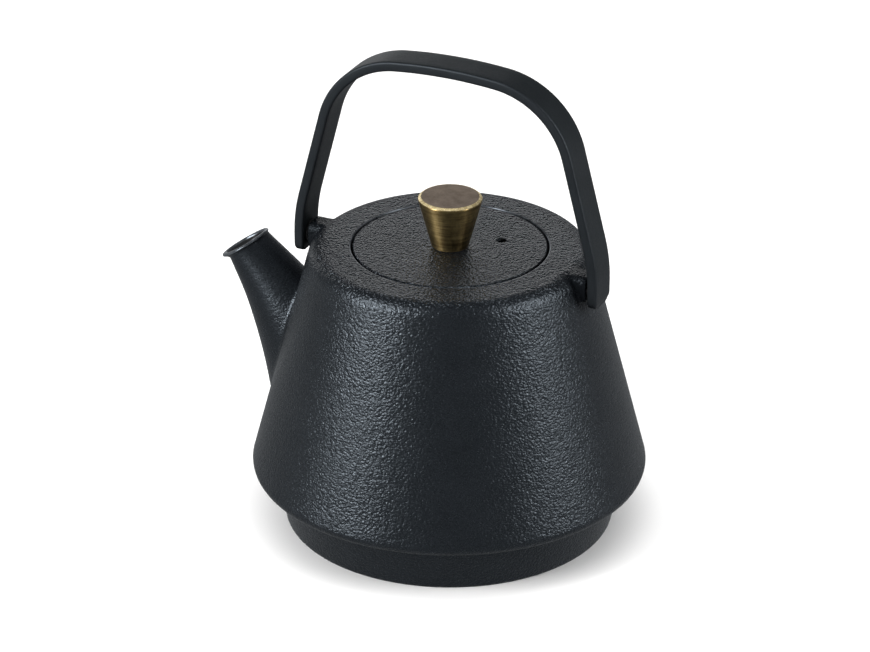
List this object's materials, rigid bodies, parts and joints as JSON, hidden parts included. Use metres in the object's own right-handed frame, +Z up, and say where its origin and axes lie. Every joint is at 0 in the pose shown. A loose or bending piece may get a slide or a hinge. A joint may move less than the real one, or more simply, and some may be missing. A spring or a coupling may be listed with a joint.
{
  "type": "teapot",
  "caption": "Cone-shaped cast iron teapot with a swinging strap bail handle, straight spout, flush lid with a brass knob and a lift-out infuser.",
  "frame": {"origin": "centre of the flat underside, which the pot stands on", "axes": "+Z up along the pot's axis; the spout points along -X and the handle arches over the pot in the XZ plane, with its pivots on a line along X"},
  "size_m": [0.177, 0.1558, 0.1914],
  "materials": {
    "cast_iron": "matte black enamel over a fine pebbled sand-cast grain",
    "strap": "smooth satin black coating on a flat steel strap",
    "brass": "antique brass, lathe brushed",
    "steel": "satin stainless steel",
    "nylon": "plain black"
  },
  "bodies": {
    "pot": {"body": "cast_iron", "shoulder": "cast_iron", "base": "cast_iron", "spout": "cast_iron", "lug_front": "cast_iron", "lug_rear": "cast_iron"},
    "handle": {"handle": "strap", "handle_stud_front": "steel", "handle_stud_rear": "steel", "handle_spacer_front": "nylon", "handle_spacer_rear": "nylon"},
    "infuser": {"infuser_rim": "steel", "infuser_wall": "steel", "infuser_floor": "steel", "infuser_ring": "steel"},
    "lid": {"lid": "cast_iron", "knob": "brass", "knob_screw": "steel", "knob_washer": "steel"}
  },
  "joints": [
    {"name": "handle_swing", "type": "hinge", "parent": "pot", "child": "handle", "pos_m": [0, 0, 0.1094], "axis": [1, 0, 0], "range_deg": [-105, 105]},
    {"name": "infuser_lift", "type": "slide", "parent": "pot", "child": "infuser", "axis": [0, 0, 1], "range_m": [0, 0.024]},
    {"name": "lid_lift", "type": "slide", "parent": "infuser", "child": "lid", "axis": [0, 0, 1], "range_m": [0, 0.022]}
  ]
}
